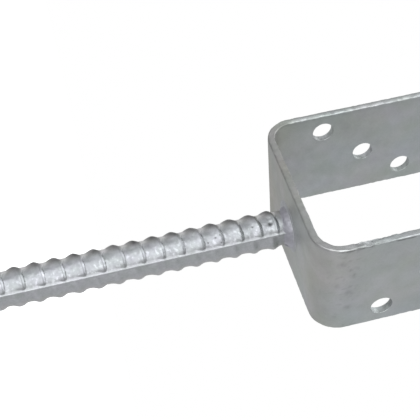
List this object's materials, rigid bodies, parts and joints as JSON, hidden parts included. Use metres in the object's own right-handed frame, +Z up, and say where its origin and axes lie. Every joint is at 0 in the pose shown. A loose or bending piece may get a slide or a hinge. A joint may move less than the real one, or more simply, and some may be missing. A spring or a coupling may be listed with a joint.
{
  "type": "timber post base",
  "caption": "Galvanised U-shaped post bracket folded from flat steel, with punched screw holes, welded to a ribbed anchor bar for casting into concrete.",
  "frame": {"origin": "centre of the post seat, the upper face of the bracket's web, above the anchor bar's axis", "axes": "+Z up out of the open end of the U, -Z down along the anchor bar into the concrete; X across the U from flange to flange; Y along the strip's width"},
  "size_m": [0.099, 0.06, 0.325],
  "materials": {
    "bracket_zinc": "hot-dip galvanised, dull and faintly mottled",
    "bar_zinc": "hot-dip galvanised, brighter and runny over the ribs",
    "weld_zinc": "hot-dip galvanised over a lumpy weld"
  },
  "bodies": {
    "root": {"u_bracket": "bracket_zinc", "anchor_bar": "bar_zinc", "weld_bead": "weld_zinc"}
  },
  "joints": []
}
